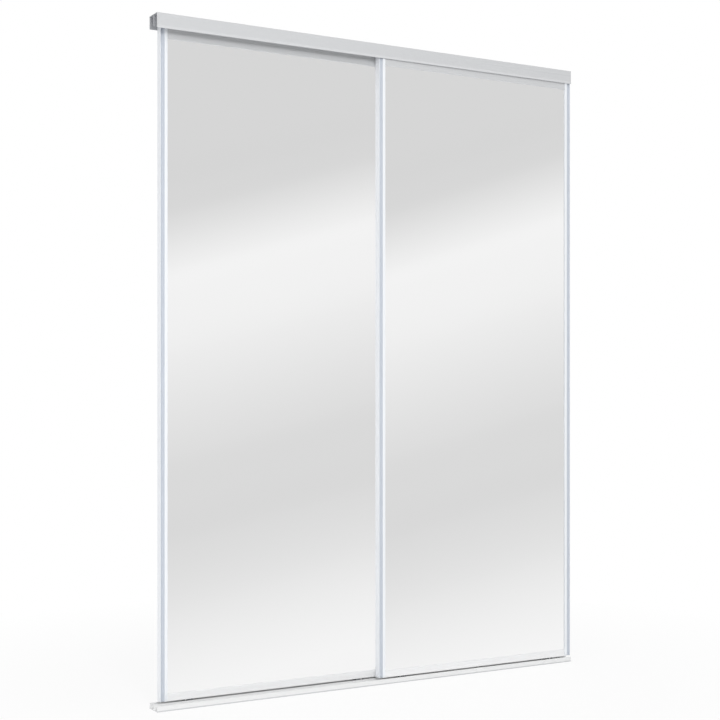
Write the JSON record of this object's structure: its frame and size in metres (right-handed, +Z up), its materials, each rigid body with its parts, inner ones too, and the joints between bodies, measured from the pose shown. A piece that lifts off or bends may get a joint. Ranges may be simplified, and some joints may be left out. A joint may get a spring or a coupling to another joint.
{
  "type": "mirrored sliding closet door",
  "caption": "Bypass closet door set: framed mirror doors with finger grooves roll on a ribbed bottom track and are guided by a top track with a front fascia.",
  "frame": {"origin": "on the floor, at the middle of the bottom track's length and depth", "axes": "+X along the tracks to the right as seen from the room, +Y into the closet, +Z up"},
  "size_m": [1.524, 0.0624, 2.045],
  "materials": {
    "white_enamel": "satin",
    "mirror_glass": "polished",
    "backing_film": "matte",
    "glazing_vinyl": "satin",
    "nylon": "satin",
    "grey_nylon": "satin",
    "plated_steel": "satin"
  },
  "bodies": {
    "tracks": {"top_track": "white_enamel", "bottom_track": "white_enamel"},
    "left_door_panel": {"left_door_left_stile": "white_enamel", "left_door_right_stile": "white_enamel", "left_door_top_rail": "white_enamel", "left_door_bottom_rail": "white_enamel", "left_door_mirror": "mirror_glass", "left_door_backing_film": "backing_film", "left_door_left_glazing_strip": "glazing_vinyl", "left_door_right_glazing_strip": "glazing_vinyl", "left_door_top_glazing_strip": "glazing_vinyl", "left_door_bottom_glazing_strip": "glazing_vinyl", "left_door_left_top_guide": "nylon", "left_door_right_top_guide": "nylon", "left_door_top_left_corner_screw": "plated_steel", "left_door_top_right_corner_screw": "plated_steel", "left_door_bottom_left_corner_screw": "plated_steel", "left_door_bottom_right_corner_screw": "plated_steel", "left_door_top_left_hole_plug": "nylon", "left_door_top_right_hole_plug": "nylon", "left_door_bottom_left_hole_plug": "nylon", "left_door_bottom_right_hole_plug": "nylon"},
    "left_door_left_roller": {"left_door_left_carriage": "grey_nylon", "left_door_left_axle": "plated_steel", "left_door_left_clamp_screw": "plated_steel"},
    "left_door_left_wheel": {"left_door_left_wheel": "nylon"},
    "left_door_right_roller": {"left_door_right_carriage": "grey_nylon", "left_door_right_axle": "plated_steel", "left_door_right_clamp_screw": "plated_steel"},
    "left_door_right_wheel": {"left_door_right_wheel": "nylon"},
    "right_door_panel": {"right_door_left_stile": "white_enamel", "right_door_right_stile": "white_enamel", "right_door_top_rail": "white_enamel", "right_door_bottom_rail": "white_enamel", "right_door_mirror": "mirror_glass", "right_door_backing_film": "backing_film", "right_door_left_glazing_strip": "glazing_vinyl", "right_door_right_glazing_strip": "glazing_vinyl", "right_door_top_glazing_strip": "glazing_vinyl", "right_door_bottom_glazing_strip": "glazing_vinyl", "right_door_left_top_guide": "nylon", "right_door_right_top_guide": "nylon", "right_door_top_left_corner_screw": "plated_steel", "right_door_top_right_corner_screw": "plated_steel", "right_door_bottom_left_corner_screw": "plated_steel", "right_door_bottom_right_corner_screw": "plated_steel", "right_door_top_left_hole_plug": "nylon", "right_door_top_right_hole_plug": "nylon", "right_door_bottom_left_hole_plug": "nylon", "right_door_bottom_right_hole_plug": "nylon"},
    "right_door_left_roller": {"right_door_left_carriage": "grey_nylon", "right_door_left_axle": "plated_steel", "right_door_left_clamp_screw": "plated_steel"},
    "right_door_left_wheel": {"right_door_left_wheel": "nylon"},
    "right_door_right_roller": {"right_door_right_carriage": "grey_nylon", "right_door_right_axle": "plated_steel", "right_door_right_clamp_screw": "plated_steel"},
    "right_door_right_wheel": {"right_door_right_wheel": "nylon"}
  },
  "joints": [
    {"name": "left_door_slide", "type": "slide", "parent": "tracks", "child": "left_door_left_roller", "axis": [1, 0, 0], "range_m": [-0.022, 0.7316]},
    {"name": "left_door_lift", "type": "slide", "parent": "left_door_left_roller", "child": "left_door_panel", "axis": [0, 0, 1], "range_m": [-0.0025, 0.0035]},
    {"name": "left_door_right_roller_height", "type": "slide", "parent": "left_door_panel", "child": "left_door_right_roller", "axis": [0, 0, 1], "range_m": [-0.0035, 0.0025]},
    {"name": "left_door_left_wheel_spin", "type": "hinge", "parent": "left_door_left_roller", "child": "left_door_left_wheel", "pos_m": [-0.656, 0.0148, 0.0163], "axis": [0, 1, 0], "continuous": true},
    {"name": "left_door_right_wheel_spin", "type": "hinge", "parent": "left_door_right_roller", "child": "left_door_right_wheel", "pos_m": [-0.0536, 0.0148, 0.0163], "axis": [0, 1, 0], "continuous": true},
    {"name": "right_door_slide", "type": "slide", "parent": "tracks", "child": "right_door_right_roller", "axis": [1, 0, 0], "range_m": [-0.7536, 0]},
    {"name": "right_door_lift", "type": "slide", "parent": "right_door_right_roller", "child": "right_door_panel", "axis": [0, 0, 1], "range_m": [-0.0025, 0.0035]},
    {"name": "right_door_left_roller_height", "type": "slide", "parent": "right_door_panel", "child": "right_door_left_roller", "axis": [0, 0, 1], "range_m": [-0.0035, 0.0025]},
    {"name": "right_door_left_wheel_spin", "type": "hinge", "parent": "right_door_left_roller", "child": "right_door_left_wheel", "pos_m": [0.0756, -0.0148, 0.0163], "axis": [0, 1, 0], "continuous": true},
    {"name": "right_door_right_wheel_spin", "type": "hinge", "parent": "right_door_right_roller", "child": "right_door_right_wheel", "pos_m": [0.678, -0.0148, 0.0163], "axis": [0, 1, 0], "continuous": true}
  ],
  "couplings": [
    {"joint": "left_door_right_roller_height", "follows": "left_door_lift", "ratio": -1},
    {"joint": "left_door_left_wheel_spin", "follows": "left_door_slide", "rad_per_m": 113.64},
    {"joint": "left_door_right_wheel_spin", "follows": "left_door_slide", "rad_per_m": 113.64},
    {"joint": "right_door_left_roller_height", "follows": "right_door_lift", "ratio": -1},
    {"joint": "right_door_left_wheel_spin", "follows": "right_door_slide", "rad_per_m": 113.64},
    {"joint": "right_door_right_wheel_spin", "follows": "right_door_slide", "rad_per_m": 113.64}
  ]
}
